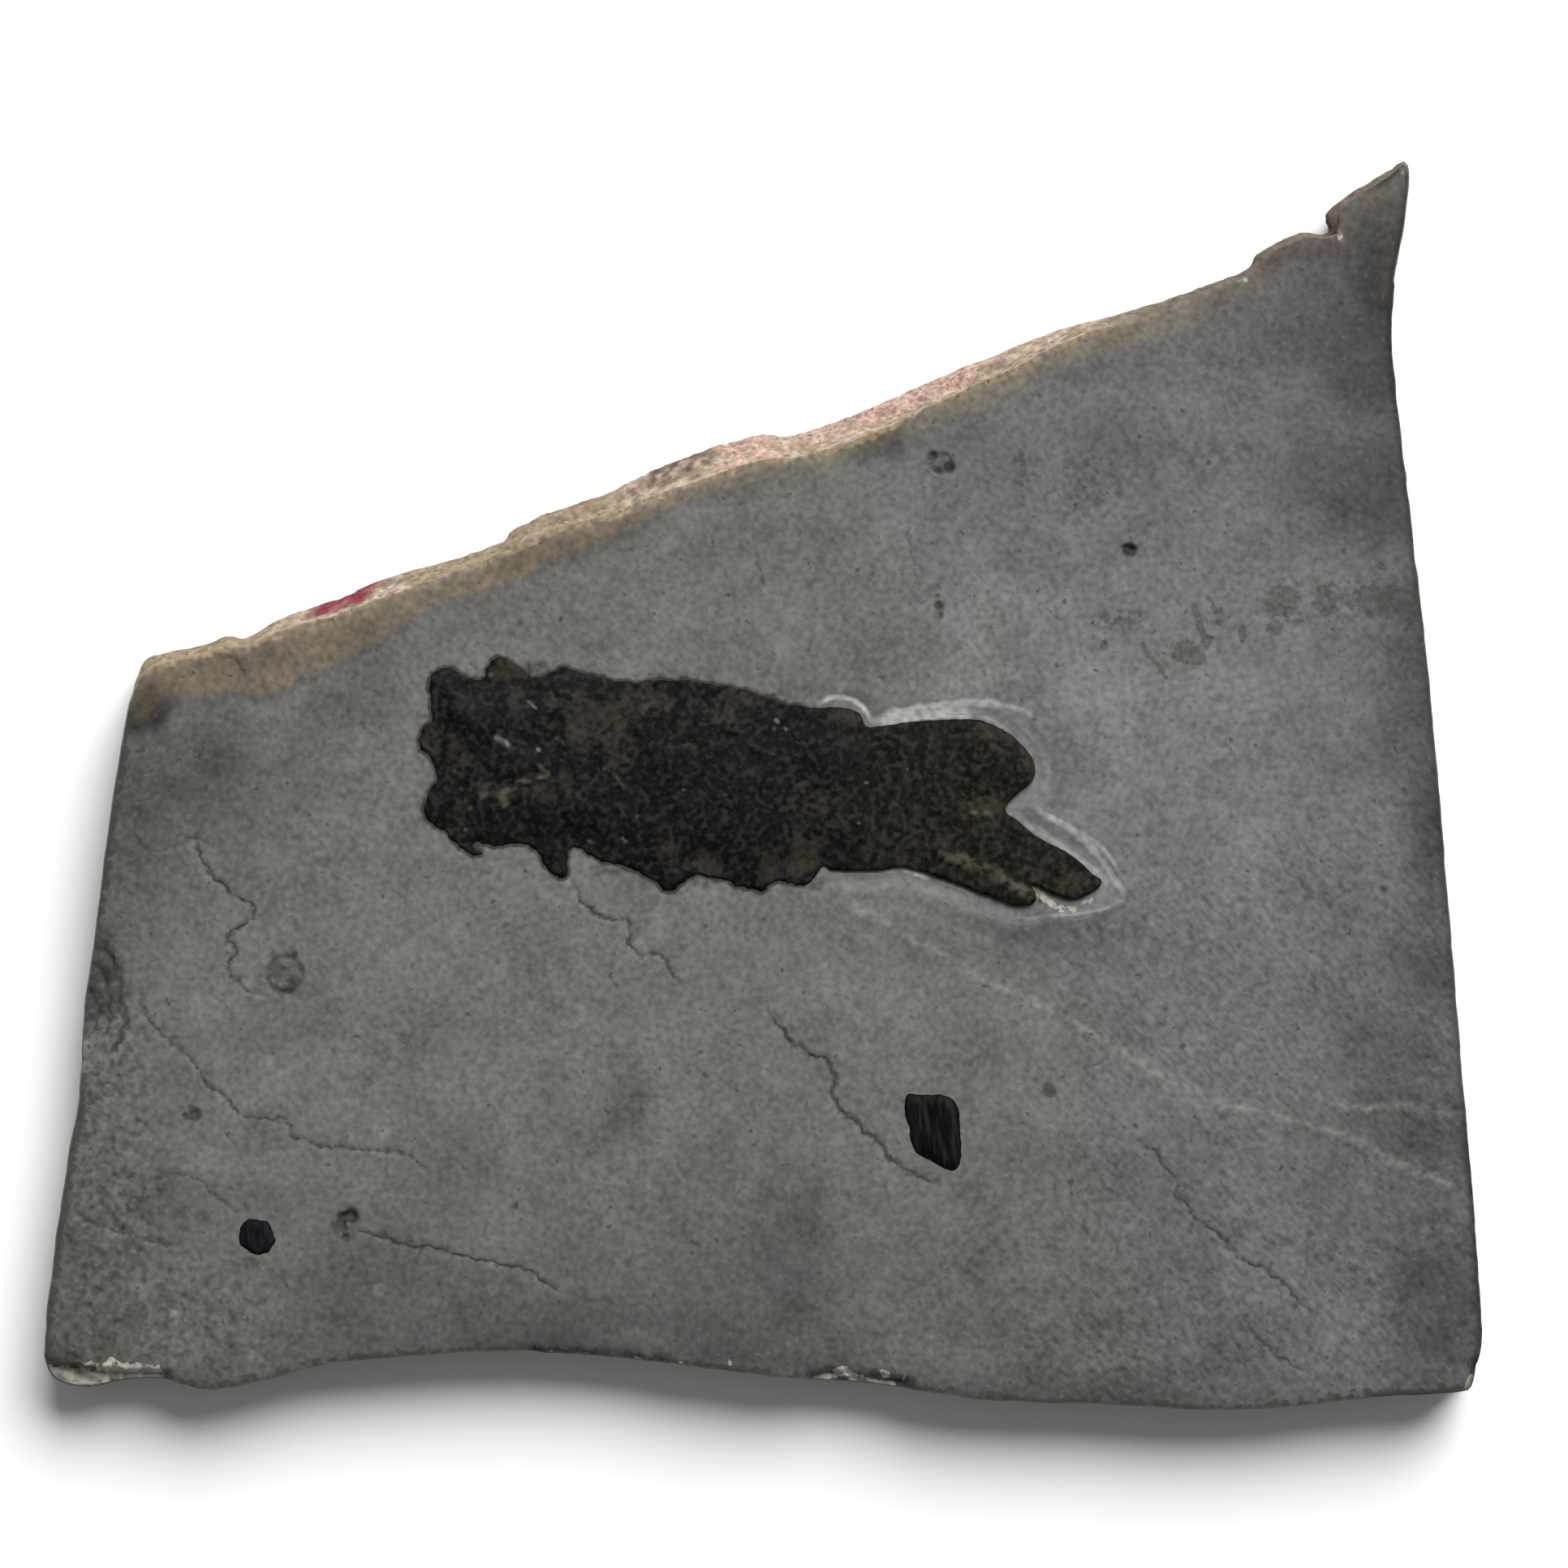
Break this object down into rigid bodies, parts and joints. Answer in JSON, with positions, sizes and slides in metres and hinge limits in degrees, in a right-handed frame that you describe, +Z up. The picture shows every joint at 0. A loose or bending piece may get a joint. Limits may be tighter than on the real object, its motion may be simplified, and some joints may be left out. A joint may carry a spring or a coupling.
{
  "type": "fossil fish slab",
  "caption": "Flat broken flagstone with a black fossil fish and black fragments fixed in its face; it lies on a flat underside.",
  "frame": {"origin": "centre of the slab's bounding box in plan, on its flat underside", "axes": "+X along the fish from its torn front to its tail, +Y towards the sloping joint face, +Z up out of the fossil face"},
  "size_m": [0.2126, 0.1848, 0.0137],
  "materials": {
    "matrix": "matt, fine grained, with a stained joint face",
    "fossil": "granular black crust with a slight sheen",
    "fragment": "coaly black with upright grain"
  },
  "bodies": {
    "root": {"slab": "matrix", "fish_fossil": "fossil", "black_chip": "fragment", "small_chip": "fragment"}
  },
  "joints": []
}
